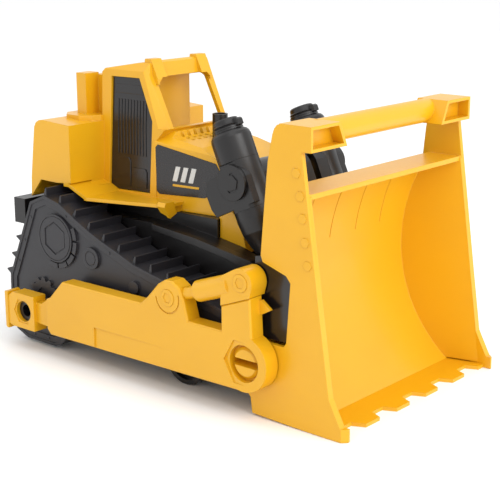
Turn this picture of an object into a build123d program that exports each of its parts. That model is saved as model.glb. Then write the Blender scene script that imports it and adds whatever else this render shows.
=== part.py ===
"""Toy track-type bulldozer, built as separate snap-together mouldings.

Frame: X forward (towards the blade), Y to the vehicle's left, Z up, ground at z = 0.
The origin is the bottom centre of the whole toy. All lengths are millimetres.
"""

from build123d import *
import math
import os

os.makedirs("parts", exist_ok=True)

# ---------------------------------------------------------------- driving dimensions
WALL = 2.5                       # general moulded wall
ARM_OUTER = 123.0                # outer face of a push arm, from the centre plane
ARM_INNER = 109.0                # inner face of a push arm
BLADE_HALF = 108.0               # outer face of a blade side plate
BLADE_PLATE = 4.0                # side plate wall
POD_OUTER = 103.0                # outer face of a track pod
POD_INNER = 64.0                 # open inner side of a track pod
HULL_HALF = 62.0                 # side of the black chassis tub

ARM_PIVOT = (-149.0, 36.1)       # rear pivot of the push arms (x, z)
BLADE_PIVOT = (109.9, 46.9)      # split snap pegs between arms and blade (x, z)
DRUM_AXIS = (49.2, 169.6)        # swing axis of the lift cylinders (x, z)
ROD_EYE = (98.4, 60.4)           # where the lift rods hold the blade (x, z)
LIFT_Y = 49.5                    # lift cylinders, distance from the centre plane

WHEEL_RADIUS = 22.0
WHEEL_WIDTH = 14.0
WHEEL_Y = 85.0                   # middle of a wheel
AXLE_X = (-150.0, 20.0)          # rear and front axle
AXLE_RADIUS = 2.0

EAR_PIN = (31.1, 83.8)           # tilt link pin on the arm's ear (x, z)
EYE_PIN = (106.9, 109.8)         # tilt link pin on the arm's front post (x, z)


# ---------------------------------------------------------------- sketch helpers
def slab_xz(points, y_low, y_high, mode=Mode.ADD, inset=0.0):
    """Extrude a side-view outline between two y positions."""
    with BuildSketch(Plane.XZ.offset(-y_high)) as outline:
        with BuildLine():
            Polyline(*points, close=True)
        make_face()
        if inset:
            offset(amount=-inset, kind=Kind.INTERSECTION, mode=Mode.REPLACE)
    extrude(outline.sketch, amount=y_high - y_low, mode=mode)


def slab_xy(points, z_low, z_high, mode=Mode.ADD):
    """Extrude a plan-view outline between two heights."""
    with BuildSketch(Plane.XY.offset(z_low)) as outline:
        with BuildLine():
            Polyline(*points, close=True)
        make_face()
    extrude(outline.sketch, amount=z_high - z_low, mode=mode)


def slab_yz(points, x_low, x_high, mode=Mode.ADD):
    """Extrude a front-view outline between two x positions."""
    with BuildSketch(Plane.YZ.offset(x_low)) as outline:
        with BuildLine():
            Polyline(*points, close=True)
        make_face()
    extrude(outline.sketch, amount=x_high - x_low, mode=mode)


def block(x_low, x_high, y_low, y_high, z_low, z_high, mode=Mode.ADD):
    """Rectangular block given by its limits."""
    with BuildSketch(Plane.XY.offset(z_low)) as outline:
        with Locations(((x_low + x_high) / 2, (y_low + y_high) / 2)):
            Rectangle(x_high - x_low, y_high - y_low)
    extrude(outline.sketch, amount=z_high - z_low, mode=mode)


def rod_y(centre, radius, y_low, y_high, mode=Mode.ADD):
    """Round bar or bore along Y around an (x, z) centre."""
    with BuildSketch(Plane.XZ.offset(-y_high)) as outline:
        with Locations(centre):
            Circle(radius)
    extrude(outline.sketch, amount=y_high - y_low, mode=mode)


def hex_y(centre, radius, y_low, y_high, mode=Mode.ADD, turn=0):
    """Hexagonal bar or socket along Y around an (x, z) centre."""
    with BuildSketch(Plane.XZ.offset(-y_high)) as outline:
        with Locations(centre):
            RegularPolygon(radius, 6, rotation=turn)
    extrude(outline.sketch, amount=y_high - y_low, mode=mode)


def ring_y(centre, outer, inner, y_low, y_high, mode=Mode.ADD):
    """Ring along Y around an (x, z) centre."""
    with BuildSketch(Plane.XZ.offset(-y_high)) as outline:
        with Locations(centre):
            Circle(outer)
            Circle(inner, mode=Mode.SUBTRACT)
    extrude(outline.sketch, amount=y_high - y_low, mode=mode)


def rod_z(x, y, radius, z_low, z_high, mode=Mode.ADD):
    """Round bar or bore along Z."""
    with BuildSketch(Plane.XY.offset(z_low)) as outline:
        with Locations((x, y)):
            Circle(radius)
    extrude(outline.sketch, amount=z_high - z_low, mode=mode)


def turned(plane, profile, mode=Mode.ADD):
    """Body of revolution: (radius, height) profile turned about the plane's normal."""
    side = Plane(origin=plane.origin, x_dir=plane.x_dir, z_dir=-plane.y_dir)
    with BuildSketch(side) as outline:
        with BuildLine():
            Polyline(*profile, close=True)
        make_face()
    revolve(outline.sketch, axis=Axis(plane.origin, plane.z_dir), mode=mode)


def save(part, name):
    """Write one named piece as STEP."""
    part.label = name
    export_step(part, f"parts/{name}.step")


def save_pair(right, name):
    """Write a right-hand piece and its mirror image on the left."""
    save(right, f"{name}_right")
    with BuildPart() as left:
        mirror(right, about=Plane.XZ)
    save(left.part, f"{name}_left")


def unit(dx, dz):
    """Unit vector in the XZ plane."""
    length = math.hypot(dx, dz)
    return dx / length, dz / length


# ---------------------------------------------------------------- lift cylinder axis
LIFT_DOWN = unit(ROD_EYE[0] - DRUM_AXIS[0], ROD_EYE[1] - DRUM_AXIS[1])
LIFT_UP = (-LIFT_DOWN[0], -LIFT_DOWN[1])
LIFT_LENGTH = math.dist(DRUM_AXIS, ROD_EYE)


def lift_plane(y):
    """Plane at the drum axis whose normal runs up along a lift cylinder."""
    return Plane(
        origin=(DRUM_AXIS[0], y, DRUM_AXIS[1]),
        x_dir=(0, 1, 0),
        z_dir=(LIFT_UP[0], 0, LIFT_UP[1]),
    )


def lift_point(along, across=0.0):
    """(x, z) point at a distance up the cylinder and forward across it."""
    return (
        DRUM_AXIS[0] + LIFT_UP[0] * along + LIFT_UP[1] * across,
        DRUM_AXIS[1] + LIFT_UP[1] * along - LIFT_UP[0] * across,
    )


# ================================================================ yellow upper body
CAB_SIDE = [(-46.5, 100), (46.5, 100), (46.5, 140), (42, 247), (36, 254), (22, 257),
            (-22, 257), (-36, 254), (-42, 247), (-46.5, 140)]
CAB_SIDE_INNER = [(-44, 100), (44, 100), (44, 140), (39.5, 243), (-39.5, 243), (-44, 140)]
CAB_PROFILE = [(-123, 131.7), (-123, 244), (-119, 247.5), (-73, 255.5), (-69.5, 254),
               (-67.5, 243), (-46, 199.7), (-55, 190), (-55, 131.7)]
CAB_INNER_PROFILE = [(-93, 130), (-93, 241), (-76, 242.5), (-70, 240), (-51, 201),
                     (-58, 189), (-58, 130)]
PILLAR_LEAN = (-0.444, 0.0, 1.0)  # windscreen slope, forward run per mm of height
PILLAR_CUT = [(-40, 31), (-40, 60), (-69, 60)]
PILLAR_CUT_INNER = [(-42, 28), (-42, 60), (-74, 60)]
WINDOW = [(-111, 241), (-76.5, 241.5), (-60.5, 205.7), (-62.6, 142.8), (-104, 141.5),
          (-113.3, 145.2)]
HOOD_PROFILE = [(-58, 131.7), (-58, 193.5), (-47, 199.7), (-45.5, 199), (-43, 192.5),
                (-10, 187.5), (10, 180.3), (32, 172), (32, 131.7)]
NOSE_PROFILE = [(17, 134), (17, 107), (56, 107), (64, 113), (64, 134), (60, 138.5),
                (40, 139.5), (32, 150), (20, 150)]
CHIN_PROFILE = [(17, 107), (17, 131.7), (15, 134), (15, 150), (18, 150), (40, 131.7), (46, 107)]


def hood_bevel(half, top, shoulder, x_low, x_high, slope, mode):
    """Trim the hood with a bevelled section that falls forward."""
    section = [(-half, 90), (half, 90), (half, shoulder), (half - 15, top),
               (-half + 15, top), (-half, shoulder)]
    with BuildSketch(Plane.YZ.offset(x_low)) as outline:
        with BuildLine():
            Polyline(*section, close=True)
        make_face()
    run = x_high - x_low
    fall = math.hypot(1.0, slope)
    extrude(outline.sketch, amount=run * fall, dir=(1 / fall, 0, slope / fall), mode=mode)


def cut_pillars(corner):
    """Chamfer both front corners of the cab along the leaning windscreen."""
    for side in (-1, 1):
        with BuildSketch(Plane.XY.offset(199.7)) as outline:
            with BuildLine():
                Polyline(*[(x, side * y) for x, y in corner], close=True)
            make_face()
        extrude(outline.sketch, amount=70, dir=PILLAR_LEAN, mode=Mode.SUBTRACT)


with BuildPart() as cab_block:
    slab_xz(CAB_PROFILE, -50, 50)
    slab_yz(CAB_SIDE, -130, -30, mode=Mode.INTERSECT)
    cut_pillars(PILLAR_CUT)

with BuildPart() as cab_room:
    slab_xz(CAB_INNER_PROFILE, -50, 50)
    slab_yz(CAB_SIDE_INNER, -130, -30, mode=Mode.INTERSECT)
    cut_pillars(PILLAR_CUT_INNER)

with BuildPart() as hood_block:
    slab_xz(HOOD_PROFILE, -50, 50)
    slab_xy([(-58, -46), (15, -39), (19, -32.2), (32, -32.2), (32, 32.2), (19, 32.2),
             (15, 39), (-58, 46)], 100, 210, mode=Mode.INTERSECT)
    hood_bevel(46, 199, 189, -58, 40, -0.165, Mode.INTERSECT)

with BuildPart() as hood_room:
    slab_xz([(-50, 130), (-50, 190), (-11, 184.8), (9, 177.5), (29.5, 170), (29.5, 130)],
            -50, 50)
    slab_xy([(-58, -43.5), (13, -36.7), (17, -29.7), (32, -29.7), (32, 29.7), (17, 29.7),
             (13, 36.7), (-58, 43.5)], 100, 210, mode=Mode.INTERSECT)
    hood_bevel(43.5, 196, 186, -58, 40, -0.165, Mode.INTERSECT)

REAR_PROFILE = [(-174, 132), (-160, 149), (-140, 148.6), (-124, 150), (-120.5, 150),
                (-120.5, 201), (-155, 203), (-160, 202.3), (-164, 200), (-166.4, 196),
                (-167.3, 190), (-173, 150)]
REAR_INNER = [(-172, 126), (-170, 150), (-163.5, 195), (-158, 200), (-123, 198.5),
              (-123, 126)]
DECK_PLAN = [(-104, -86), (-101, -86), (-26, -63), (-26, 63), (-101, 86), (-104, 86)]
DECK_PLAN_INNER = [(-123, -83.5), (-101.4, -83.5), (-28.5, -61.2), (-28.5, 61.2),
                   (-101.4, 83.5), (-123, 83.5)]

with BuildPart() as body:
    # rear engine housing, wider than the cab
    slab_xz(REAR_PROFILE, -86, 86)
    slab_xz([(-165, 132), (-172, 134), (-173, 150), (-120.5, 150), (-120.5, 132)], -61, 61)
    # sloped step and flat deck over the tracks
    slab_xz([(-130, 146.6), (-123.5, 146.6), (-102, 137.6), (-101, 137.4), (-101, 140.4),
             (-124, 150), (-130, 150)], -86, 86)
    slab_xy(DECK_PLAN, 137.4, 140.4)
    slab_xy([(-126, -61), (-28, -61), (-28, 61), (-126, 61)], 131.7, 137.4)
    # wedge-ended brackets under the front of the deck
    for side in (-1, 1):
        slab_yz([(side * 67, 139), (side * 65.5, 142.5), (side * 56, 142.5),
                 (side * 52, 132), (side * 60, 128.5)], -34, -25)
    add(cab_block.part)
    add(hood_block.part)
    slab_xz(NOSE_PROFILE, -32.2, 32.2)
    for side in (-1, 1):
        low, high = sorted((side * 29, side * 44))
        slab_xz(CHIN_PROFILE, low, high)
    # lugs that carry the pin of the lift cylinders
    for side in (-1, 1):
        low, high = sorted((side * 20.5, side * 26.5))
        slab_xz([(34, 137), (60, 137), (55.5, 169.6), (52, 175), (46.5, 175), (43, 169.6)],
                low, high)
    # intake columns behind the cab, each on a stepped foot
    for side in (-1, 1):
        low, high = sorted((side * 34, side * 50))
        block(-148.5, -136.5, low, high, 198, 242)
        slab_xy([(-160, side * 30), (-160, side * 52), (-150, side * 62), (-134, side * 62),
                 (-126, side * 54), (-122, side * 46), (-122, side * 30)], 198, 206)
    # raised back of the cab between the columns
    block(-142, -123, -35, 35, 198, 240)
    # lamp boxes on the front corners of the roof
    for side in (-1, 1):
        low, high = sorted((side * 22, side * 34.4))
        slab_xz([(-78, 252), (-77, 257.5), (-69.8, 257.5), (-63.2, 244), (-61.8, 241),
                 (-61.8, 236.2), (-66, 236.2), (-72, 243)], low, high)

    # hollow inside of every box
    slab_xz(REAR_INNER, -83.5, 83.5, mode=Mode.SUBTRACT)
    slab_xy(DECK_PLAN_INNER, 120, 137.9, mode=Mode.SUBTRACT)
    slab_xy([(-120.5, -58.5), (-30, -58.5), (-30, 58.5), (-120.5, 58.5)], 120, 138,
            mode=Mode.SUBTRACT)
    block(-120.5, -95.5, -36, 36, 120, 236, mode=Mode.SUBTRACT)
    block(-139.5, -126, -32.5, 32.5, 190, 237.5, mode=Mode.SUBTRACT)
    add(cab_room.part, mode=Mode.SUBTRACT)
    add(hood_room.part, mode=Mode.SUBTRACT)
    slab_xz([(19.5, 95), (19.5, 147.5), (30.5, 147.5), (38.5, 137), (59, 136), (61.5, 133),
             (61.5, 113), (60, 95)], -29.7, 29.7, mode=Mode.SUBTRACT)
    slab_xz([(19.5, 95), (19.5, 140), (27, 138), (37.5, 128), (42.5, 108), (44, 95)],
            -41.5, 41.5, mode=Mode.SUBTRACT)
    # cab windows and windscreen
    slab_xz(WINDOW, -60, -38.0, mode=Mode.SUBTRACT)
    slab_xz(WINDOW, 38.0, 60, mode=Mode.SUBTRACT)
    slab_yz([(-32, 199.7), (32, 199.7), (32, 238), (28, 242), (-28, 242), (-32, 238)],
            -72, -30, mode=Mode.SUBTRACT)
    # grille perforations on the hood
    for row in range(3):
        for column in range(5):
            spot = (-43.5 + 6 * row, -24 + 8 * column)
            rod_z(spot[0], spot[1], 1.9, 182, 198, mode=Mode.SUBTRACT)
    # socket for the exhaust stub
    rod_z(-21.5, 0, 4.0, 170, 200, mode=Mode.SUBTRACT)
    rod_z(-21.5, 0, 6.9, 189.2, 200, mode=Mode.SUBTRACT)
    rod_y(DRUM_AXIS, 3.5, -30, 30, mode=Mode.SUBTRACT)
save(body.part, "body_shell")

# black ribbed panel that closes the right-hand cab window
with BuildPart() as panel:
    slab_xz(WINDOW, -50, -30, inset=0.35)
    slab_yz([(-44.6, 100), (-42.6, 100), (-42.6, 140), (-38.2, 243), (-40.2, 243),
             (-44.6, 140)], -130, -50, mode=Mode.INTERSECT)
save(panel.part, "cab_side_panel")

# black exhaust stub with an open end, plugged into the hood
with BuildPart() as exhaust:
    rod_z(-21.5, 0, 3.85, 181, 190)
    rod_z(-21.5, 0, 6.7, 189.5, 211.5)
    rod_z(-21.5, 0, 5.2, 196, 212, mode=Mode.SUBTRACT)
save(exhaust.part, "exhaust_stub")

# printed decals on the hood sides, seated on the tapered wall
DECAL = [(-52.5, 187.0), (9.0, 176.5), (13.6, 169.5), (0.5, 147.5), (-3.0, 145.9),
         (-51.5, 144.0), (-54.5, 146.5), (-55.0, 184.5)]
with BuildPart() as decal:
    slab_xz(DECAL, -50, -30)
    slab_xy([(-58, -46.4), (15, -39.4), (15, -39.03), (-58, -46.03)], 130, 200,
            mode=Mode.INTERSECT)
save_pair(decal.part, "hood_decal")


# ================================================================ black tub and tracks
POD_OUTLINE = [(-189, 25), (-189, 48), (-188.6, 60.5), (-185.4, 66.5), (-167, 108),
               (-156.5, 132), (-137.5, 140), (-118, 135.5), (-97, 124), (-81, 116.5),
               (-65, 110), (-44.5, 103), (-27.5, 96.5), (-8.5, 92.5), (9.5, 89), (60, 80),
               (80, 75), (92, 64), (97, 48), (96, 30), (88, 20), (76, 16), (-112, 16),
               (-122, 6), (-130, 3), (-168, 3), (-183, 9)]
POD_BELT = 2.8                   # belt thickness
GROUSER_HEIGHT = 7.0
HUB = (-123.7, 103.8)            # raised drive sprocket hub
SMALL_HUB = (-79.1, 93.0)
IDLER = (-143.0, 47.0)           # toothed idler low at the rear
ROLLER_CAP = (-27.4, 76.8)


def grouser(foot, lean, height):
    """Thin cleat standing on the belt, given its foot and outward direction."""
    ahead = (-lean[1], lean[0])
    base = (foot[0] - 0.6 * lean[0], foot[1] - 0.6 * lean[1])
    tip = (foot[0] + height * lean[0], foot[1] + height * lean[1])
    points = [
        (base[0] - 2.2 * ahead[0], base[1] - 2.2 * ahead[1]),
        (tip[0] - 0.6 * ahead[0], tip[1] - 0.6 * ahead[1]),
        (tip[0] + 0.6 * ahead[0], tip[1] + 0.6 * ahead[1]),
        (base[0] + 1.6 * ahead[0], base[1] + 1.6 * ahead[1]),
    ]
    slab_xz(points, -POD_OUTER + 1.5, -POD_INNER)


def arc_lug(centre, inner, outer, start, sweep):
    """Curved lug between two radii, from a start angle over a sweep in degrees."""
    angles = [math.radians(start + sweep * step / 5) for step in range(6)]
    rim = [(centre[0] + outer * math.cos(a), centre[1] + outer * math.sin(a)) for a in angles]
    root = [(centre[0] + inner * math.cos(a), centre[1] + inner * math.sin(a))
            for a in reversed(angles)]
    slab_xz(rim + root, -POD_OUTER - 0.3, -POD_OUTER + 2)


def belt_points(spacing, first, last):
    """Evenly spaced (point, outward normal) pairs along the upper pod outline."""
    path = POD_OUTLINE[first:last + 1]
    found = []
    carried = 0.0
    for start, end in zip(path, path[1:]):
        step = math.dist(start, end)
        along = unit(end[0] - start[0], end[1] - start[1])
        place = carried
        while place <= step:
            point = (start[0] + along[0] * place, start[1] + along[1] * place)
            found.append((point, (-along[1], along[0])))
            place += spacing
        carried = place - step
    return found


with BuildPart() as pod:
    slab_xz(POD_OUTLINE, -POD_OUTER, -POD_INNER)
    slab_xz(POD_OUTLINE, -POD_OUTER + 4.0, -POD_INNER, mode=Mode.SUBTRACT, inset=POD_BELT)
    # stepped rim and sunk side panel
    slab_xz(POD_OUTLINE, -POD_OUTER, -POD_OUTER + 0.7, mode=Mode.SUBTRACT, inset=2.6)
    slab_xz(POD_OUTLINE, -POD_OUTER, -POD_OUTER + 1.9, mode=Mode.SUBTRACT, inset=8.0)
    # big hub with a hexagonal boss and an arc of curved lugs
    rod_y(HUB, 21.5, -POD_OUTER - 1.0, -POD_OUTER + 2)
    hex_y(HUB, 15.0, -POD_OUTER - 1.0, -POD_OUTER - 0.1, mode=Mode.SUBTRACT, turn=30)
    hex_y(HUB, 13.6, -POD_OUTER - 0.6, -POD_OUTER, turn=30)
    ring_y(HUB, 20.2, 19.2, -POD_OUTER - 1.0, -POD_OUTER - 0.5, mode=Mode.SUBTRACT)
    for turn in range(5):
        arc_lug(HUB, 22.6, 27.0, -112 + 29 * turn, 25)
    # smaller round details on the panel
    rod_y(SMALL_HUB, 9.5, -POD_OUTER - 0.4, -POD_OUTER + 2)
    ring_y(SMALL_HUB, 6.6, 5.6, -POD_OUTER - 0.4, -POD_OUTER, mode=Mode.SUBTRACT)
    rod_y(ROLLER_CAP, 5.5, -POD_OUTER - 0.4, -POD_OUTER + 2)
    rod_y(IDLER, 15.0, -POD_OUTER - 0.2, -POD_OUTER + 2)
    for tooth in range(12):
        angle = math.radians(30 * tooth)
        spot = (IDLER[0] + 15.5 * math.cos(angle), IDLER[1] + 15.5 * math.sin(angle))
        rod_y(spot, 2.6, -POD_OUTER - 0.2, -POD_OUTER + 2)
    rod_y(IDLER, 8.0, -POD_OUTER - 0.2, -POD_OUTER + 0.8, mode=Mode.SUBTRACT)
    # cleats across the belt: up the rear, over the peak and down the long slope
    for foot, lean in belt_points(18.4, 2, 4):
        grouser(foot, lean, GROUSER_HEIGHT)
    for foot, lean in belt_points(19.6, 6, 15):
        grouser(foot, lean, GROUSER_HEIGHT)
    # wheel slots
    for x in AXLE_X:
        block(x - WHEEL_RADIUS - 1, x + WHEEL_RADIUS + 1, -WHEEL_Y - 8.5, -POD_INNER + 1, 2, 20,
              mode=Mode.SUBTRACT)
    # socket for the arm pivot pin
    rod_y(ARM_PIVOT, 13.0, -POD_OUTER - 0.4, -POD_OUTER + 6)
    rod_y(ARM_PIVOT, 5.0, -POD_OUTER - 2, -POD_OUTER + 7, mode=Mode.SUBTRACT)
save_pair(pod.part, "track_pod")

TUB_LOWER = [(-168, 20), (-168, 122), (-30, 122), (10, 117), (44, 111.5), (70, 104),
             (77, 60), (78, 30), (72, 14), (-160, 14)]
TUB_LOWER_ROOM = [(-165, 23), (-165, 119), (-30, 119), (10, 114), (44, 108.5), (67.5, 101),
                  (74, 60), (75, 31), (70, 17), (-158, 17)]
with BuildPart() as tub:
    slab_xz(TUB_LOWER, -HULL_HALF, HULL_HALF)
    block(-168, 16.6, -47, 47, 100, 131.5)
    slab_xz(TUB_LOWER_ROOM, -HULL_HALF + 3, HULL_HALF - 3, mode=Mode.SUBTRACT)
    block(-165, 13.6, -44, 44, 100, 128.5, mode=Mode.SUBTRACT)
    block(-150, 13.6, -34, 34, 100, 140, mode=Mode.SUBTRACT)
    block(16, 68, -44.6, 44.6, 99, 140, mode=Mode.SUBTRACT)
    for x in (-130, -60, 10):
        for y in (-52, 52):
            rod_z(x, y, 1.45, 13, 24, mode=Mode.SUBTRACT)
    # full-width rear beam behind the tracks
    block(-187, -172.2, -96, 96, 108, 131)
    block(-172.5, -167, -HULL_HALF, HULL_HALF, 108, 131)
    # rounded guard rail above the front of each track
    for side in (-1, 1):
        low, high = sorted((side * (HULL_HALF - 1), side * 68))
        slab_xz([(-40, 118), (-40, 123), (10, 118.4), (44, 113), (70, 109), (76, 103),
                 (70, 100), (44, 107), (10, 112)], low, high)
    # spacer walls that carry the pods
    for side in (-1, 1):
        for x in (-105, -60, -15):
            low, high = sorted((side * (HULL_HALF - 0.5), side * (POD_OUTER - 4.5)))
            rod_y((x, 62), 5.0, low, high)
    # axle bearings right through the tub
    for x in AXLE_X:
        block(x - 7, x + 7, -HULL_HALF + 1, HULL_HALF - 1, 15, 32)
        rod_y((x, WHEEL_RADIUS), AXLE_RADIUS + 0.06, -HULL_HALF - 1, HULL_HALF + 1,
              mode=Mode.SUBTRACT)
save(tub.part, "chassis_tub")

for place, x in zip(("rear", "front"), AXLE_X):
    with BuildPart() as axle:
        rod_y((x, WHEEL_RADIUS), AXLE_RADIUS, -WHEEL_Y - 5, WHEEL_Y + 5)
    save(axle.part, f"axle_{place}")
    with BuildPart() as wheel:
        rod_y((x, WHEEL_RADIUS), WHEEL_RADIUS, -WHEEL_Y - WHEEL_WIDTH / 2,
              -WHEEL_Y + WHEEL_WIDTH / 2)
        ring_y((x, WHEEL_RADIUS), WHEEL_RADIUS - 4, 6, -WHEEL_Y - WHEEL_WIDTH / 2,
               -WHEEL_Y - 2, mode=Mode.SUBTRACT)
        ring_y((x, WHEEL_RADIUS), WHEEL_RADIUS - 4, 6, -WHEEL_Y + 2,
               -WHEEL_Y + WHEEL_WIDTH / 2, mode=Mode.SUBTRACT)
        rod_y((x, WHEEL_RADIUS), AXLE_RADIUS, -WHEEL_Y - 5, -WHEEL_Y + 8, mode=Mode.SUBTRACT)
    save_pair(wheel.part, f"wheel_{place}")


# ================================================================ push arms and links
ARM_SIDE = [(-117, 27), (-112.5, 22.4), (109.9, 24.3), (109.9, 58), (118.5, 60),
            (116.3, 99.5), (87.4, 88.6), (87.4, 68.7), (52.8, 68.9), (48.5, 84), (43.5, 94),
            (36, 98.3), (28, 98), (20.5, 93.4), (8, 80.2), (0, 73.6), (-95.5, 73.2),
            (-112.3, 56), (-117, 54)]
LINK_RUN = unit(EYE_PIN[0] - EAR_PIN[0], EYE_PIN[1] - EAR_PIN[1])
LINK_Y = -(ARM_OUTER + ARM_INNER) / 2


def link_bar(radius, start, end, mode=Mode.ADD):
    """Round bar along the tilt link, measured from the ear pin."""
    plane = Plane(
        origin=(EAR_PIN[0] + LINK_RUN[0] * start, LINK_Y, EAR_PIN[1] + LINK_RUN[1] * start),
        x_dir=(0, 1, 0),
        z_dir=(LINK_RUN[0], 0, LINK_RUN[1]),
    )
    with BuildSketch(plane) as outline:
        Circle(radius)
    extrude(outline.sketch, amount=end - start, mode=mode)


# hexagonal sink round the snap peg, deepest at the rear
with BuildPart() as peg_sink:
    hex_y(BLADE_PIVOT, 19.8, -ARM_OUTER - 1, -ARM_OUTER + 3)
    slab_xy([(80, -ARM_OUTER - 2), (112, -ARM_OUTER - 2), (112, -ARM_OUTER),
             (80, -ARM_OUTER + 2.9)], 0, 100, mode=Mode.INTERSECT)

with BuildPart() as arm:
    slab_xz(ARM_SIDE, -ARM_OUTER, -ARM_INNER)
    chamfer(arm.faces().sort_by(Axis.Y)[0].outer_wire().edges(), 1.2)
    rod_y(BLADE_PIVOT, 22.6, -ARM_OUTER, -ARM_INNER)
    # slimmer neck and the rear pivot block with its end flange
    slab_xz([(-136, 28.5), (-136, 47), (-127, 47), (-115, 55), (-115, 27.5)],
            -ARM_OUTER + 3.5, -ARM_INNER)
    slab_xz([(-169, 22), (-169, 47.5), (-162, 52.3), (-133.8, 52.3), (-133.8, 20.5),
             (-163, 20.5)], -ARM_OUTER, -ARM_INNER)
    slab_xz([(-172.2, 19), (-172.2, 51.5), (-168.6, 51.5), (-168.6, 17.5), (-171, 17.5)],
            -ARM_OUTER - 0.8, -ARM_INNER)
    rod_y(ARM_PIVOT, 9.5, -ARM_OUTER - 1, -ARM_INNER + 1, mode=Mode.SUBTRACT)
    hex_y(ARM_PIVOT, 12.2, -ARM_OUTER - 1, -ARM_OUTER + 1.0, mode=Mode.SUBTRACT)
    # snap peg bore at the front with a hexagonal sink
    rod_y(BLADE_PIVOT, 14.8, -ARM_OUTER - 1, -ARM_INNER + 1, mode=Mode.SUBTRACT)
    add(peg_sink.part, mode=Mode.SUBTRACT)
    # tapering sunk panel along the lower edge
    slab_xy([(-56, -ARM_OUTER - 1), (37, -ARM_OUTER - 1), (37, -ARM_OUTER),
             (-56, -ARM_OUTER + 1.3)], 20, 41, mode=Mode.SUBTRACT)
    # crescent groove around the ear
    with BuildSketch(Plane.XZ.offset(ARM_OUTER + 1)) as crescent:
        with Locations(EAR_PIN):
            Circle(13)
            Circle(11.8, mode=Mode.SUBTRACT)
        with Locations((EAR_PIN[0] + 5, EAR_PIN[1] + 12)):
            Rectangle(40, 18, rotation=12, mode=Mode.SUBTRACT)
    extrude(crescent.sketch, amount=-1.9, mode=Mode.SUBTRACT)
    # wedge lug on the inner side of the post
    slab_xz([(110, 94), (118.5, 96.5), (127.5, 90), (118.5, 85), (110, 85)],
            -112, -ARM_INNER)
    # seats for the tilt link and its pins
    link_bar(5.05, 2, 30, mode=Mode.SUBTRACT)
    rod_y(EAR_PIN, 7.05, -ARM_OUTER - 1, -ARM_OUTER + 1.5, mode=Mode.SUBTRACT)
    rod_y(EAR_PIN, 3.1, -ARM_OUTER - 1, -ARM_INNER + 1, mode=Mode.SUBTRACT)
save_pair(arm.part, "push_arm")

with BuildPart() as link:
    link_bar(5.0, 2.5, 34)
    link_bar(8.6, 30, 66)
    rod_y(EYE_PIN, 11.3, -ARM_OUTER, -ARM_INNER + 4)
    slab_xz([(87.4, 88.8), (116.0, 99.6), (118, 107), (112, 120), (100, 119), (87.4, 112)],
            -ARM_OUTER, -ARM_INNER + 4)
    rod_y(EYE_PIN, 7.05, -ARM_OUTER - 1, -ARM_OUTER + 1.5, mode=Mode.SUBTRACT)
    rod_y(EYE_PIN, 3.1, -ARM_OUTER - 1, -ARM_INNER + 5, mode=Mode.SUBTRACT)
    rod_y(EAR_PIN, 3.1, -ARM_OUTER - 1, -ARM_INNER + 1, mode=Mode.SUBTRACT)
save_pair(link.part, "tilt_link")

with BuildPart() as pins:
    for centre in (EAR_PIN, EYE_PIN):
        rod_y(centre, 7.0, -ARM_OUTER - 0.5, -ARM_OUTER + 1.4)
        rod_y(centre, 3.0, -ARM_OUTER + 1.4, -ARM_INNER - 1)
        hex_y(centre, 4.4, -ARM_OUTER - 0.5, -ARM_OUTER + 0.1, mode=Mode.SUBTRACT)
save_pair(pins.part, "link_pins")

with BuildPart() as pivot:
    rod_y(ARM_PIVOT, 4.95, -POD_OUTER - 0.5, -POD_OUTER + 5.5)
    rod_y(ARM_PIVOT, 9.42, -ARM_OUTER + 4.5, -POD_OUTER - 0.5)
    rod_y(ARM_PIVOT, 5.5, -ARM_OUTER + 4, -ARM_OUTER + 12, mode=Mode.SUBTRACT)
save_pair(pivot.part, "arm_pivot_pin")


# ================================================================ blade
MOLD_TOP = (128.0, 176.5)
MOLD_MIDDLE = (110.5, 92.0)
MOLD_FOOT = (155.5, 3.0)
MOLD_THICK = 3.0
FRONT_LEAN = 0.1517              # forward run of the front edge per mm of fall
INNER_SPLAY = 0.233              # inboard run of the inner cheek per mm behind the edge


def circle_through(a, b, c):
    """Centre and radius of the circle through three (x, z) points."""
    turn = 2 * (a[0] * (b[1] - c[1]) + b[0] * (c[1] - a[1]) + c[0] * (a[1] - b[1]))
    squares = [p[0] ** 2 + p[1] ** 2 for p in (a, b, c)]
    x = (squares[0] * (b[1] - c[1]) + squares[1] * (c[1] - a[1])
         + squares[2] * (a[1] - b[1])) / turn
    z = (squares[0] * (c[0] - b[0]) + squares[1] * (a[0] - c[0])
         + squares[2] * (b[0] - a[0])) / turn
    return (x, z), math.dist((x, z), a)


MOLD_CENTRE, MOLD_RADIUS = circle_through(MOLD_TOP, MOLD_MIDDLE, MOLD_FOOT)


def mold_point(z, depth=0.0):
    """(x, z) on the curved moldboard, depth mm behind its front surface."""
    radius = MOLD_RADIUS + depth
    return (MOLD_CENTRE[0] - math.sqrt(radius ** 2 - (z - MOLD_CENTRE[1]) ** 2), z)


def front_edge(z):
    """x of the leaning front edge of a side plate."""
    return 156.7 + (180.0 - z) * FRONT_LEAN


PLATE_SIDE = [(106.2, 2.1), (157, 0.5), (191.2, 0.3), (190.8, 9.5), (179.4, 30.5),
              (152.5, 211), (152, 230.5), (134, 230.5), (130, 229.4), (127.4, 226.6),
              (125.6, 222), (121.4, 202),
              (117.8, 165), (114.7, 130), (116.6, 125), (139, 118), (143.2, 113),
              (139.5, 66), (137, 62.3), (96, 62.3), (89.5, 54), (89.5, 36), (96, 24),
              (104.5, 15)]
TOOTH_PITCH = 41.4
TOOTH_PLAN = [(-14, 0), (-9, 11), (9, 11), (14, 0)]

CHEEK_PLANE = Plane(
    origin=(front_edge(100), 102.0, 100),
    x_dir=(-1, -INNER_SPLAY, 0),
    z_dir=(INNER_SPLAY, -1, INNER_SPLAY * FRONT_LEAN),
)
rising = [mold_point(4 + 172.5 * i / 24, MOLD_THICK) for i in range(25)]
CHEEK_SIDE = rising + [(front_edge(179) + 0.5, 179), (front_edge(31), 31), (192, 4)]

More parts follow.
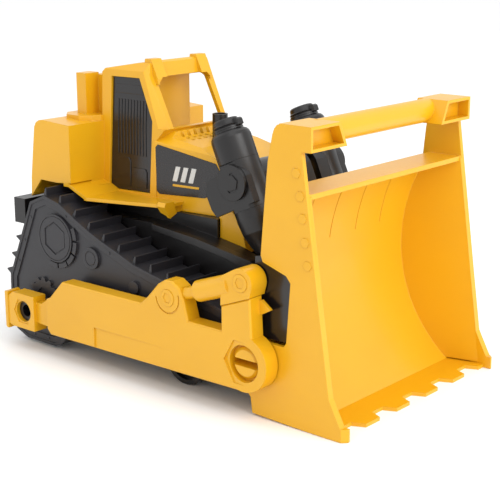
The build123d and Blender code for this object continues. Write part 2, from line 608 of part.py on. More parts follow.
with BuildPart() as cheek:
    with BuildSketch(CHEEK_PLANE) as cheek_sheet:
        Rectangle(220, 260)
    extrude(cheek_sheet.sketch, amount=-2.5)
    slab_xz(CHEEK_SIDE, 60, 106, mode=Mode.INTERSECT)

front_face = [mold_point(3 + 173.5 * i / 40) for i in range(41)]
back_face = [mold_point(176.5 - 175.5 * i / 40, MOLD_THICK) for i in range(41)]

with BuildPart() as blade:
    for side in (-1, 1):
        low, high = sorted((side * (BLADE_HALF - BLADE_PLATE), side * BLADE_HALF))
        slab_xz(PLATE_SIDE, low, high)
        # front rim of the side plate, thicker than its wall
        low, high = sorted((side * 101.9, side * BLADE_HALF))
        slab_xz([(front_edge(181) - 3, 181), (front_edge(181), 181),
                 (front_edge(31) + 0.3, 31), (191, 9.5), (191.2, 0.3), (176, 0.3),
                 (175, 28)], low, high)
        slab_xy([(183, side * 101.9), (195, side * 101.9), (195, side * 104),
                 (191, side * 108), (183, side * 108)], 0.3, 10.5)
        # box at the top corner, open to the front, with the handle between
        low, high = sorted((side * 66, side * BLADE_HALF))
        slab_yz([(side * BLADE_HALF, 211.8), (side * BLADE_HALF, 230.5), (side * 73, 230.5),
                 (side * 64.5, 211.8)], 132, 161)
        slab_yz([(side * 105.5, 214.3), (side * 105.5, 228), (side * 75, 228),
                 (side * 68.5, 214.3)], 151, 163, mode=Mode.SUBTRACT)
    add(cheek.part)
    mirror(cheek.part, about=Plane.XZ)
    slab_xz(front_face + back_face, -98, 98)
    # flat shelf along the top of the moldboard
    block(125.2, 156.4, -104.5, 104.5, 176.5, 180.5)
    # cutting edge with trapezoid teeth
    block(152.5, 177.6, -104.5, 104.5, 0, 3)
    for tooth in range(6):
        middle = TOOTH_PITCH * (tooth - 2.5)
        points = [(177 + run, min(max(middle + step, -104), 104)) for step, run in TOOTH_PLAN]
        slab_xy(points, 0, 3)
    # carrying handle
    rod_y((141, 221.2), 9.6, -76, 76)
    # weld lines down the moldboard
    for line in (-1.5, -0.5, 0.5, 1.5):
        groove = [mold_point(126 + 40 * i / 8, 0.5) for i in range(9)]
        groove += [mold_point(166 - 40 * i / 8, -1.0) for i in range(9)]
        slab_xz(groove, 34.7 * line - 0.5, 34.7 * line + 0.5, mode=Mode.SUBTRACT)
    # lugs behind the moldboard for the lift rods
    for side in (-1, 1):
        for face in (LIFT_Y - 10.2, LIFT_Y + 7.2):
            low, high = sorted((side * face, side * (face + 3)))
            slab_xz([(94, 56), (94, 65), (100, 70), (114, 72), (118, 50), (100, 51)], low, high)
    # bores for the snap pegs and the rod pins
    for side in (-1, 1):
        low, high = sorted((side * 100, side * 110))
        rod_y(BLADE_PIVOT, 10.05, low, high, mode=Mode.SUBTRACT)
        low, high = sorted((side * (LIFT_Y - 11), side * (LIFT_Y + 11)))
        rod_y(ROD_EYE, 2.55, low, high, mode=Mode.SUBTRACT)
    # bolt heads down the outer face of each side plate
    for side in (-1, 1):
        low, high = sorted((side * (BLADE_HALF - 0.5), side * (BLADE_HALF + 0.7)))
        for x, z in ((147.8, 196.2), (151.6, 179.6), (154.0, 163.5), (156.4, 146),
                     (158.9, 129)):
            hex_y((x, z), 4.0, low, high)
save(blade.part, "blade")

# black inserts behind the notches of the side plates
NOTCH_COVER = [(106, 64), (140, 64.5), (145.5, 68), (148.5, 112), (143, 121), (118, 129),
               (106, 127)]
with BuildPart() as notch_cover:
    slab_xz(NOTCH_COVER, -103.9, -101.4)
    rod_y((121, 108), 15.5, -103.9, -100.6)
save_pair(notch_cover.part, "notch_cover")

with BuildPart() as peg:
    rod_y(BLADE_PIVOT, 12.0, -BLADE_HALF + BLADE_PLATE, -BLADE_HALF + BLADE_PLATE + 2.5)
    rod_y(BLADE_PIVOT, 10.0, -BLADE_HALF, -BLADE_HALF + BLADE_PLATE)
    rod_y(BLADE_PIVOT, 14.72, -ARM_OUTER + 6.0, -BLADE_HALF)
    rod_y(BLADE_PIVOT, 12.6, -ARM_OUTER + 2.0, -ARM_OUTER + 6.0)
    chamfer(peg.faces().sort_by(Axis.Y)[0].edges(), 2.2)
    block(BLADE_PIVOT[0] - 20, BLADE_PIVOT[0] + 20, -ARM_OUTER, -BLADE_HALF - 0.5,
          BLADE_PIVOT[1] - 3.0, BLADE_PIVOT[1] + 3.0, mode=Mode.SUBTRACT)
save_pair(peg.part, "blade_peg")

with BuildPart() as rod_pins:
    for side in (-1, 1):
        low, high = sorted((side * (LIFT_Y - 10.5), side * (LIFT_Y + 10.5)))
        rod_y(ROD_EYE, 2.5, low, high)
save(rod_pins.part, "rod_pins")


# ================================================================ lift cylinders
BARREL_BORE = 6.9
BARREL_RADIUS = 16.8
MID_TOP = 16.0                   # upper joint of the cast middle of a cylinder
MID_FOOT = -24.0                 # lower joint of the cast middle
CRADLE_PLATE = [lift_point(-21, -29.2), lift_point(-20.5, 13), lift_point(8, 13),
                lift_point(11, -8), lift_point(9.5, -26.7), lift_point(-0.6, -32.5),
                lift_point(-13.2, -32)]

with BuildPart() as cradle:
    rod_y(DRUM_AXIS, 15.0, -64, 64)
    slab_xz([lift_point(2, -15), lift_point(2, 15), lift_point(-20.5, 15),
             lift_point(-20.5, -15)], -64, 64)
    for side in (-1, 1):
        turned(lift_plane(side * LIFT_Y), [(0, MID_FOOT), (BARREL_RADIUS, MID_FOOT),
                                           (BARREL_RADIUS, MID_TOP), (0, MID_TOP)])
    block(0, 100, -70, -64, 120, 200, mode=Mode.SUBTRACT)
    block(0, 100, 64, 70, 120, 200, mode=Mode.SUBTRACT)
    for side in (-1, 1):
        low, high = sorted((side * 59, side * 64))
        slab_xz(CRADLE_PLATE, low, high)
        turned(lift_plane(side * LIFT_Y), [(0, MID_FOOT - 3), (13.05, MID_FOOT - 3),
                                           (13.05, MID_FOOT + 5), (BARREL_BORE, MID_FOOT + 5),
                                           (BARREL_BORE, MID_TOP - 5), (13.05, MID_TOP - 5),
                                           (13.05, MID_TOP + 3), (0, MID_TOP + 3)],
               mode=Mode.SUBTRACT)
    rod_y(DRUM_AXIS, 3.56, -31, 31, mode=Mode.SUBTRACT)
    # slots for the two hood lugs
    for side in (-1, 1):
        low, high = sorted((side * 19.5, side * 27.5))
        slab_xz([lift_point(8, -11), lift_point(8, 20), lift_point(-30, 20),
                 lift_point(-30, -22), lift_point(-8, -22)], low, high, mode=Mode.SUBTRACT)
save(cradle.part, "lift_cradle")

# bottle-shaped top of each cylinder
with BuildPart() as bottle:
    turned(lift_plane(-LIFT_Y), [(13.0, MID_TOP - 5), (13.0, MID_TOP), (BARREL_RADIUS, MID_TOP),
                                 (BARREL_RADIUS, 35.5), (16.2, 38), (14.8, 40), (12.6, 41.2),
                                 (12.6, 42.6), (9.4, 42.6), (9.4, 46.5), (0, 46.5), (0, 34),
                                 (BARREL_BORE, 34), (BARREL_BORE, MID_TOP - 5)])
save_pair(bottle.part, "cylinder_top")

# tapered lower end that guides the rod
with BuildPart() as nozzle:
    turned(lift_plane(-LIFT_Y), [(BARREL_BORE, MID_FOOT + 5), (13.0, MID_FOOT + 5),
                                 (13.0, MID_FOOT), (BARREL_RADIUS, MID_FOOT),
                                 (BARREL_RADIUS, -32), (15.6, -43), (12.4, -53), (10, -60),
                                 (BARREL_BORE, -62)])
save_pair(nozzle.part, "cylinder_nozzle")

# screwed cap with a side lug on top of each cylinder
with BuildPart() as cap:
    turned(lift_plane(-LIFT_Y), [(9.5, 42.7), (12.4, 42.7), (12.4, 44), (11.2, 44.8),
                                 (12.2, 45.8), (11.0, 46.8), (10.6, 50), (9.6, 51.2),
                                 (7.6, 51.2), (7.6, 49.8), (0, 49.8), (0, 46.7), (9.5, 46.7)])
    slab_xz([lift_point(43, 11.5), lift_point(43, 15.5), lift_point(47.5, 15.5),
             lift_point(49, 14), lift_point(49, 9.5)], -LIFT_Y - 3, -LIFT_Y + 3)
save_pair(cap.part, "barrel_cap")

# round end plates of the drum with a hexagonal recess
with BuildPart() as end_plate:
    rod_y(DRUM_AXIS, 14.6, -67, -64)
    # open hook-shaped groove
    hex_y(DRUM_AXIS, 8.6, -67, -66.2, mode=Mode.SUBTRACT, turn=22)
    hex_y(DRUM_AXIS, 6.8, -67, -66.2, turn=22)
    block(DRUM_AXIS[0] - 10, DRUM_AXIS[0] - 1.5, -67, -66.2, DRUM_AXIS[1] - 6.5,
          DRUM_AXIS[1] + 9)
save_pair(end_plate.part, "drum_end_plate")

with BuildPart() as lift_rod:
    turned(lift_plane(-LIFT_Y), [(0, -LIFT_LENGTH + 4), (6.5, -LIFT_LENGTH + 4),
                                 (6.5, -36), (0, -36)])
    rod_y(ROD_EYE, 7.0, -LIFT_Y - 5, -LIFT_Y + 5)
    rod_y(ROD_EYE, 3.6, -LIFT_Y - 8, -LIFT_Y + 8, mode=Mode.SUBTRACT)
save_pair(lift_rod.part, "lift_rod")

with BuildPart() as drum_pin:
    rod_y(DRUM_AXIS, 3.5, -30.5, 30.5)
save(drum_pin.part, "drum_pin")

# screws that clamp the pods and the upper body to the tub
with BuildPart() as screws:
    for x in (-130, -60, 10):
        for y in (-52, 52):
            rod_z(x, y, 3.2, 11.4, 13.9)
            rod_z(x, y, 1.4, 13.9, 22)
save(screws.part, "base_screws")
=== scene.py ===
"""Looks of a toy track-type bulldozer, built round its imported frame.

Frame: X forward (towards the blade), Y to the vehicle's left, Z up, floor at z = 0, metres.
"""
import logging
import math
from dataclasses import dataclass
from enum import Enum
from typing import Any, Iterable, Sequence

import bmesh
import bpy
from mathutils import Matrix, Vector


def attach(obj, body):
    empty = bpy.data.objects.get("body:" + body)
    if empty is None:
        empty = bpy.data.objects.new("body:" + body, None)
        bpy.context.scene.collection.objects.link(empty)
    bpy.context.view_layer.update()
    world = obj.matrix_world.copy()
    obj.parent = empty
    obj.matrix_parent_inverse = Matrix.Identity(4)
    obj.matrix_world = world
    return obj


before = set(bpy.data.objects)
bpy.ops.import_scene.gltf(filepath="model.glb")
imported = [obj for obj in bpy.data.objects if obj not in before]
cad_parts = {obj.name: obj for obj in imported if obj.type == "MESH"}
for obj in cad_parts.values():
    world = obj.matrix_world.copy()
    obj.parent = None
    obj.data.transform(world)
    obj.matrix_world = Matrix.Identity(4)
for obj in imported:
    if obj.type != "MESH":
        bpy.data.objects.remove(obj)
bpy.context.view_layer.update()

LOG = logging.getLogger("bulldozer")
MM = 0.001
NOISE_ROUGHNESS = 0.55
BEVEL_SAMPLES = 4
EDGE_GAIN = 5.0
ROUNDING_SEGMENTS = 2
PIECE_ROUNDING_ANGLE = math.radians(32)
NODE_ROUNDING_ANGLE = math.radians(40)
SHARP_ANGLE = math.radians(35)
XZ = tuple[float, float]
RGB = tuple[float, float, float]


class Body(Enum):
    """Rigid bodies that the pieces ride on."""

    VEHICLE = "vehicle"
    ARMS = "arms"
    BLADE = "blade_set"
    CYLINDERS = "cylinders"
    RODS = "rods"
    FRONT_WHEELS = "front_wheels"
    REAR_WHEELS = "rear_wheels"


class Side(Enum):
    """Side of the vehicle: the sign of y."""

    RIGHT = -1
    LEFT = 1

    @property
    def word(self) -> str:
        """Lower-case name used in piece names."""
        return self.name.lower()


# ------------------------------------------------------------------ shader expressions
class Value:
    """A node socket that takes part in arithmetic; each operator adds a Math node."""

    def __init__(self, tree: "ShaderTree", socket: Any) -> None:
        """Wraps an output socket of a tree.

        Args:
            tree: The tree that the socket belongs to.
            socket: The output socket.
        """
        self.tree = tree
        self.socket = socket

    def _math(self, operation: str, *terms: Any) -> "Value":
        """Adds a Math node.

        Args:
            operation: The Math node's operation.
            terms: Numbers or values, in socket order.

        Returns:
            The node's result.
        """
        return self.tree.node("ShaderNodeMath", {"operation": operation}, dict(enumerate(terms)))

    def __add__(self, other: Any) -> "Value":
        """self + other."""
        return self._math("ADD", self, other)

    __radd__ = __add__

    def __sub__(self, other: Any) -> "Value":
        """self - other."""
        return self._math("SUBTRACT", self, other)

    def __rsub__(self, other: Any) -> "Value":
        """other - self."""
        return self._math("SUBTRACT", other, self)

    def __mul__(self, other: Any) -> "Value":
        """self * other."""
        return self._math("MULTIPLY", self, other)

    __rmul__ = __mul__

    def clipped(self) -> "Value":
        """The value kept between 0 and 1."""
        return self._math("MINIMUM", self._math("MAXIMUM", self, 0.0), 1.0)

    def above(self, start: float, gain: float) -> "Value":
        """How far the value lies over a start level.

        Args:
            start: Level that gives 0.
            gain: Rise per unit over the start.

        Returns:
            The rise, kept between 0 and 1.
        """
        return ((self - start) * gain).clipped()


class ShaderTree:
    """Node tree of one material, built from expressions."""

    def __init__(self, name: str) -> None:
        """Makes an empty material.

        Args:
            name: The material's name.
        """
        self.material = bpy.data.materials.new(name)
        self.material.use_nodes = True
        self.tree = self.material.node_tree
        self.tree.nodes.clear()

    def node(self, kind: str, settings: dict[str, Any] | None = None,
             inputs: dict[Any, Any] | None = None, output: Any = 0) -> Value:
        """Adds any node.

        Args:
            kind: The node's type name.
            settings: Attributes of the node, set first.
            inputs: Socket names or numbers with the values or links they take.
            output: The output socket to return.

        Returns:
            The chosen output.
        """
        made = self.tree.nodes.new(kind)
        for key, setting in (settings or {}).items():
            setattr(made, key, setting)
        for key, given in (inputs or {}).items():
            if isinstance(given, Value):
                self.tree.links.new(given.socket, made.inputs[key])
            else:
                made.inputs[key].default_value = given
        return Value(self, made.outputs[output] if made.outputs else None)

    def noise(self, scale: float, detail: float = 3.0,
              stretch: Sequence[float] = (1, 1, 1)) -> Value:
        """Noise over the object's own coordinates.

        Args:
            scale: Cells per metre.
            detail: Octaves.
            stretch: Scale of each axis.

        Returns:
            The noise level, about 0.5 on average.
        """
        place = self.node("ShaderNodeTexCoord", output="Object")
        spread = self.node("ShaderNodeVectorMath", {"operation": "MULTIPLY"},
                           {0: place, 1: tuple(stretch)})
        return self.node("ShaderNodeTexNoise", {}, {"Vector": spread, "Scale": scale,
                                                    "Detail": detail,
                                                    "Roughness": NOISE_ROUGHNESS})

    def mix(self, share: Value, first: Any, second: Any) -> Value:
        """Colour mix.

        Args:
            share: How much of the second colour.
            first: Colour or link where share is 0.
            second: Colour or link where share is 1.

        Returns:
            The mixed colour.
        """
        return self.node("ShaderNodeMix", {"data_type": "RGBA"}, {0: share, 6: first, 7: second},
                         output=2)

    def edges(self, radius: float) -> tuple[Value, Value]:
        """Rounded-edge normal and a mask that is high along edges.

        Args:
            radius: Rounding radius in metres.

        Returns:
            The rounded normal and the edge mask.
        """
        rounded = self.node("ShaderNodeBevel", {"samples": BEVEL_SAMPLES}, {"Radius": radius})
        flat = self.node("ShaderNodeNewGeometry", output="Normal")
        facing = self.node("ShaderNodeVectorMath", {"operation": "DOT_PRODUCT"},
                           {0: rounded, 1: flat}, output="Value")
        return rounded, ((1 - facing) * EDGE_GAIN).clipped()


@dataclass(frozen=True)
class Moulded:
    """Injection-moulded plastic: faint flow tone, fine skin, rubbed edges."""

    name: str
    colour: RGB
    shade: RGB
    rubbed: RGB
    roughness: float = 0.38
    coat: float = 0.0
    grain: float = 1800.0
    grain_height: float = 0.00002
    edge_radius: float = 0.0007
    wear: float = 0.35
    flow_scale: float = 14.0
    flow_stretch: RGB = (1, 1, 1.6)
    flow_start: float = 0.42
    flow_gain: float = 3.0
    speck_scale: float = 420.0
    speck_height: float = 1.5
    scuff_scale: float = 60.0
    scuff_stretch: RGB = (4, 4, 0.7)
    scuff_start: float = 0.35
    scuff_gain: float = 3.0
    dull_start: float = 0.58
    dull_gain: float = 2.0
    flow_roughness: float = 0.12
    speck_roughness: float = 0.10
    scuff_roughness: float = 0.12
    bump_strength: float = 0.6
    ior: float = 1.5
    coat_roughness: float = 0.12

    def build(self) -> bpy.types.Material:
        """Makes the material.

        Returns:
            The finished material.
        """
        tree = ShaderTree(self.name)
        flow = tree.noise(self.flow_scale, 4.0, self.flow_stretch)
        specks = tree.noise(self.speck_scale, 2.0)
        skin = tree.noise(self.grain, 2.0)
        scuffs = tree.noise(self.scuff_scale, 6.0, self.scuff_stretch)
        rounded, edge = tree.edges(self.edge_radius)
        tone = tree.mix(flow.above(self.flow_start, self.flow_gain),
                        (*self.colour, 1), (*self.shade, 1))
        rubbed = (edge * scuffs.above(self.scuff_start, self.scuff_gain) * self.wear).clipped()
        colour = tree.mix(rubbed, tone, (*self.rubbed, 1))
        rough = (self.roughness + (flow - 0.5) * self.flow_roughness
                 + (specks - 0.5) * self.speck_roughness
                 + scuffs.above(self.dull_start, self.dull_gain) * self.scuff_roughness)
        bump = tree.node("ShaderNodeBump", {}, {
            "Strength": self.bump_strength, "Distance": self.grain_height,
            "Height": skin + specks * self.speck_height, "Normal": rounded})
        shader = tree.node("ShaderNodeBsdfPrincipled", {}, {
            "Base Color": colour, "Roughness": rough.clipped(), "Normal": bump,
            "IOR": self.ior, "Coat Weight": self.coat, "Coat Roughness": self.coat_roughness})
        tree.node("ShaderNodeOutputMaterial", {}, {"Surface": shader})
        return tree.material


YELLOW = Moulded("yellow_plastic", (0.72, 0.37, 0.004), (0.69, 0.35, 0.004), (0.78, 0.45, 0.02),
                 roughness=0.36, coat=0.10)
BLACK = Moulded("black_plastic", (0.006, 0.0052, 0.0056), (0.008, 0.0072, 0.0075),
                (0.022, 0.021, 0.022), roughness=0.34)
TRACK = Moulded("track_plastic", (0.016, 0.0155, 0.019), (0.020, 0.019, 0.023),
                (0.042, 0.041, 0.046), roughness=0.42)
GLOSS = Moulded("gloss_black_plastic", (0.006, 0.005, 0.0055), (0.008, 0.007, 0.0075),
                (0.025, 0.023, 0.025), roughness=0.22, coat=0.2)
PRINT = Moulded("printed_film", (0.011, 0.009, 0.0095), (0.013, 0.011, 0.012),
                (0.03, 0.027, 0.027), roughness=0.27, coat=0.15, grain_height=0.000004)
PALE_MARK = Moulded("pale_ink", (0.62, 0.61, 0.58), (0.59, 0.58, 0.55), (0.5, 0.5, 0.5),
                    roughness=0.35, grain_height=0.000003)
YELLOW_MARK = Moulded("yellow_ink", (0.70, 0.37, 0.01), (0.67, 0.35, 0.01), (0.7, 0.42, 0.05),
                      roughness=0.35, grain_height=0.000003)


@dataclass(frozen=True)
class Steel:
    """Drawn steel: fine lines along the part and a dull shine."""

    name: str = "drawn_steel"
    colour: RGB = (0.56, 0.56, 0.57)
    dull: RGB = (0.40, 0.40, 0.41)
    roughness: float = 0.34
    roughness_range: float = 0.2
    line_scale: float = 900.0
    line_height: float = 0.00001
    cloud_scale: float = 40.0
    cloud_start: float = 0.4
    cloud_gain: float = 2.5

    def build(self) -> bpy.types.Material:
        """Makes the material.

        Returns:
            The finished material.
        """
        tree = ShaderTree(self.name)
        lines = tree.noise(self.line_scale, 3.0, (1, 0.04, 1))
        cloud = tree.noise(self.cloud_scale, 3.0)
        colour = tree.mix(cloud.above(self.cloud_start, self.cloud_gain),
                          (*self.colour, 1), (*self.dull, 1))
        bump = tree.node("ShaderNodeBump", {}, {"Strength": 0.4, "Distance": self.line_height,
                                                "Height": lines})
        rough = (self.roughness + (lines - 0.5) * self.roughness_range).clipped()
        shader = tree.node("ShaderNodeBsdfPrincipled", {}, {
            "Base Color": colour, "Metallic": 1.0, "Roughness": rough, "Normal": bump})
        tree.node("ShaderNodeOutputMaterial", {}, {"Surface": shader})
        return tree.material


@dataclass(frozen=True)
class Paper:
    """Seamless matt studio floor with a barely visible tooth."""

    name: str = "studio_floor"
    colour: RGB = (0.95, 0.95, 0.95)
    tooth_scale: float = 300.0
    tooth_height: float = 0.0001
    roughness: float = 0.9
    specular: float = 0.2

    def build(self) -> bpy.types.Material:
        """Makes the material.

        Returns:
            The finished material.
        """
        tree = ShaderTree(self.name)
        tooth = tree.noise(self.tooth_scale, 2.0)
        bump = tree.node("ShaderNodeBump", {}, {"Strength": 0.1, "Distance": self.tooth_height,
                                                "Height": tooth})
        shader = tree.node("ShaderNodeBsdfPrincipled", {}, {
            "Base Color": (*self.colour, 1), "Roughness": self.roughness, "Normal": bump,
            "Specular IOR Level": self.specular})
        tree.node("ShaderNodeOutputMaterial", {}, {"Surface": shader})
        return tree.material


class Palette:
    """All materials of the toy, each made once."""

    def __init__(self) -> None:
        """Builds every finish."""
        self.yellow = YELLOW.build()
        self.black = BLACK.build()
        self.track = TRACK.build()
        self.gloss = GLOSS.build()
        self.print = PRINT.build()
        self.pale_mark = PALE_MARK.build()
        self.yellow_mark = YELLOW_MARK.build()
        self.steel = Steel().build()


# ------------------------------------------------------------------ mesh building
def round_edges(piece: bpy.types.Object, width: float, angle: float) -> None:
    """Rounds the sharp edges of a piece with a modifier.

    Args:
        piece: The piece.
        width: Rounding in millimetres.
        angle: Edges sharper than this angle are rounded, in radians.
    """
    rounding = piece.modifiers.new("rounding", "BEVEL")
    rounding.width = width * MM
    rounding.segments = ROUNDING_SEGMENTS
    rounding.limit_method = "ANGLE"
    rounding.angle_limit = angle


class Former:
    """Makes meshes in millimetres and rides them on a body."""

    @staticmethod
    def place(name: str, shape: bmesh.types.BMesh, body: Body, material: bpy.types.Material,
              slot: str, bevel: float = 0.0) -> bpy.types.Object:
        """Turns a shape into a finished piece.

        Args:
            name: Piece name.
            shape: Mesh in millimetres, freed afterwards.
            body: Body the piece rides on.
            material: Its finish.
            slot: Material slot name, not used.
            bevel: Edge rounding in millimetres.

        Returns:
            The placed object.
        """
        bmesh.ops.scale(shape, vec=(MM, MM, MM), verts=shape.verts)
        bmesh.ops.recalc_face_normals(shape, faces=shape.faces)
        mesh = bpy.data.meshes.new(name)
        shape.to_mesh(mesh)
        shape.free()
        mesh.materials.append(material)
        piece = bpy.data.objects.new(name, mesh)
        bpy.context.scene.collection.objects.link(piece)
        if bevel:
            round_edges(piece, bevel, PIECE_ROUNDING_ANGLE)
        mesh.shade_smooth()
        mesh.set_sharp_from_angle(angle=SHARP_ANGLE)
        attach(piece, body.value)
        LOG.info("piece %s: %d faces", name, len(mesh.polygons))
        return piece

    @staticmethod
    def slab(shape: bmesh.types.BMesh, outline: Sequence[XZ], y_low: float,
             y_high: float) -> list[bmesh.types.BMVert]:
        """Adds a side-view outline extruded between two y positions.

        Args:
            shape: Mesh to add to.
            outline: (x, z) corners.
            y_low: Right end.
            y_high: Left end.

        Returns:
            The new vertices.
        """
        near = [shape.verts.new((x, y_low, z)) for x, z in outline]
        far = [shape.verts.new((x, y_high, z)) for x, z in outline]
        shape.faces.new(near)
        shape.faces.new(list(reversed(far)))
        count = len(outline)
        for i in range(count):
            j = (i + 1) % count
            shape.faces.new((near[j], near[i], far[i], far[j]))
        return near + far

    @staticmethod
    def lathe(shape: bmesh.types.BMesh, profile: Sequence[tuple[float, float]], centre: Vector,
              axis: Vector, steps: int = 32) -> None:
        """Adds a closed body of revolution.

        Args:
            shape: Mesh to add to.
            profile: (radius, height) points from the first pole to the last.
            centre: Origin of the profile.
            axis: Direction of the heights.
            steps: Facets round the axis.
        """
        turn = axis.normalized().to_track_quat("Z", "Y")
        rings = []
        for radius, height in profile:
            if radius < 1e-6:
                rings.append([shape.verts.new(centre + turn @ Vector((0, 0, height)))])
                continue
            ring = []
            for i in range(steps):
                angle = 2 * math.pi * i / steps
                spot = Vector((radius * math.cos(angle), radius * math.sin(angle), height))
                ring.append(shape.verts.new(centre + turn @ spot))
            rings.append(ring)
        for first, second in zip(rings, rings[1:]):
            for i in range(steps):
                j = (i + 1) % steps
                corners = [first[i % len(first)], first[j % len(first)],
                           second[j % len(second)], second[i % len(second)]]
                unique = list(dict.fromkeys(corners))
                if len(unique) > 2:
                    shape.faces.new(unique)


def dress(names: Iterable[str], material: bpy.types.Material, rounding: float = 0.0) -> None:
    """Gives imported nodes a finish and, where wanted, rounded edges.

    Args:
        names: Node names.
        material: The finish.
        rounding: Edge rounding in millimetres.
    """
    for name in names:
        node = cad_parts[name]
        for socket in node.material_slots:
            socket.material = material
        if rounding:
            round_edges(node, rounding, NODE_ROUNDING_ANGLE)
        LOG.info("dressed %s", name)


# ------------------------------------------------------------------ sub-assemblies
@dataclass
class UpperBody:
    """Yellow upper moulding with its panel, exhaust and decals."""

    rounding: float = 0.7

    def build(self, palette: Palette) -> None:
        """Dresses the upper body.

        Args:
            palette: Finishes.
        """
        dress(["body_shell"], palette.yellow, self.rounding)
        dress(["cab_side_panel"], palette.gloss)
        dress(["exhaust_stub"], palette.black, 0.4)
        dress(["hood_decal_left", "hood_decal_right"], palette.print)


@dataclass
class Chassis:
    """Black tub, track pods, wheels and axles."""

    rounding: float = 0.5

    def build(self, palette: Palette) -> None:
        """Dresses the chassis.

        Args:
            palette: Finishes.
        """
        dress(["chassis_tub"], palette.black, self.rounding)
        dress(["track_pod_left", "track_pod_right"], palette.track, self.rounding)
        for place in ("front", "rear"):
            dress([f"axle_{place}"], palette.steel)
            dress([f"wheel_{place}_left", f"wheel_{place}_right"], palette.black)
        dress(["base_screws"], palette.steel)
        dress(["drum_pin"], palette.black)
        dress(["arm_pivot_pin_left", "arm_pivot_pin_right"], palette.black)


@dataclass
class PushArms:
    """Push arms with their tilt links and pins."""

    rounding: float = 0.8

    def build(self, palette: Palette) -> None:
        """Dresses the arms.

        Args:
            palette: Finishes.
        """
        for side in Side:
            dress([f"push_arm_{side.word}", f"tilt_link_{side.word}", f"link_pins_{side.word}"],
                  palette.yellow, self.rounding)


@dataclass
class Blade:
    """Blade with its snap pegs, notch covers and rod pins."""

    rounding: float = 0.8

    def build(self, palette: Palette) -> None:
        """Dresses the blade.

        Args:
            palette: Finishes.
        """
        dress(["blade", "blade_peg_left", "blade_peg_right"], palette.yellow, self.rounding)
        dress(["rod_pins"], palette.black)
        dress(["notch_cover_left", "notch_cover_right"], palette.gloss)


@dataclass
class LiftCylinders:
    """Drum, cylinders, caps, end plates and rods."""

    rounding: float = 0.5

    def build(self, palette: Palette) -> None:
        """Dresses the cylinders.

        Args:
            palette: Finishes.
        """
        dress(["lift_cradle"], palette.black, self.rounding)
        for side in Side:
            word = side.word
            dress([f"cylinder_top_{word}", f"cylinder_nozzle_{word}", f"barrel_cap_{word}",
                   f"drum_end_plate_{word}"], palette.black, self.rounding)
            dress([f"lift_rod_{word}"], palette.gloss)


# ------------------------------------------------------------------ trim pieces
POD_RIM: tuple[XZ, ...] = (
    (-189, 25), (-189, 48), (-188.6, 60.5), (-185.4, 66.5), (-167, 108), (-156.5, 132),
    (-137.5, 140), (-118, 135.5), (-97, 124), (-81, 116.5), (-65, 110), (-44.5, 103),
    (-27.5, 96.5), (-8.5, 92.5), (9.5, 89), (60, 80), (80, 75), (92, 64), (97, 48), (96, 30),
    (88, 20), (76, 16), (-112, 16), (-122, 6), (-130, 3), (-168, 3), (-183, 9),
)


@dataclass
class CabPanelTrim:
    """Raised ribs, band and seat blocks on the black cab panel."""

    ribs: int = 10
    first_x: float = -104.0
    last_x: float = -70.0
    low: float = 174.0
    high: float = 222.0
    face_y: float = -44.6
    face_lean: float = 0.0427
    proud: float = 0.6
    band_proud: float = 0.4
    rear_block_proud: float = 0.7
    front_block_proud: float = 0.9
    sunk: float = 0.4
    face_foot: float = 140.0
    rib_half: float = 0.9
    rib_bow: float = 0.6

    def build(self, palette: Palette) -> None:
        """Adds the relief.

        Args:
            palette: Finishes.
        """
        shape = bmesh.new()
        step = (self.last_x - self.first_x) / (self.ribs - 1)
        for rib in range(self.ribs):
            self._raise(shape, self._rib(self.first_x + rib * step), self.proud)
        Former.place("cab_panel_ribs", shape, Body.VEHICLE, palette.gloss, "panel_black", 0.25)
        top_band = [(-108, 227), (-73, 227), (-75, 235), (-108, 234.4)]
        rear_block = [(-103, 146), (-88, 146), (-88, 168), (-90, 171), (-103, 171)]
        front_block = [(-85, 146), (-68, 146), (-68, 160), (-70, 163), (-85, 163)]
        shape = bmesh.new()
        self._raise(shape, top_band, self.band_proud)
        self._raise(shape, rear_block, self.rear_block_proud)
        self._raise(shape, front_block, self.front_block_proud)
        Former.place("cab_panel_blocks", shape, Body.VEHICLE, palette.gloss, "panel_black", 0.3)

    def _rib(self, x: float) -> list[XZ]:
        """Outline of one slightly bowed rib.

        Args:
            x: Middle of the rib.

        Returns:
            Its corners.
        """
        middle = (self.low + self.high) / 2
        half, bow = self.rib_half, self.rib_bow
        left = [(x - half, self.low), (x - half - bow, middle), (x - half, self.high)]
        right = [(x + half, self.high), (x + half - bow, middle), (x + half, self.low)]
        return left + right

    def _raise(self, shape: bmesh.types.BMesh, outline: Sequence[XZ], proud: float) -> None:
        """Adds one raised area that follows the leaning panel.

        Args:
            shape: Mesh to add to.
            outline: (x, z) corners.
            proud: Height over the panel.
        """
        for vert in Former.slab(shape, outline, self.face_y - proud, self.face_y + self.sunk):
            vert.co.y += (vert.co.z - self.face_foot) * self.face_lean


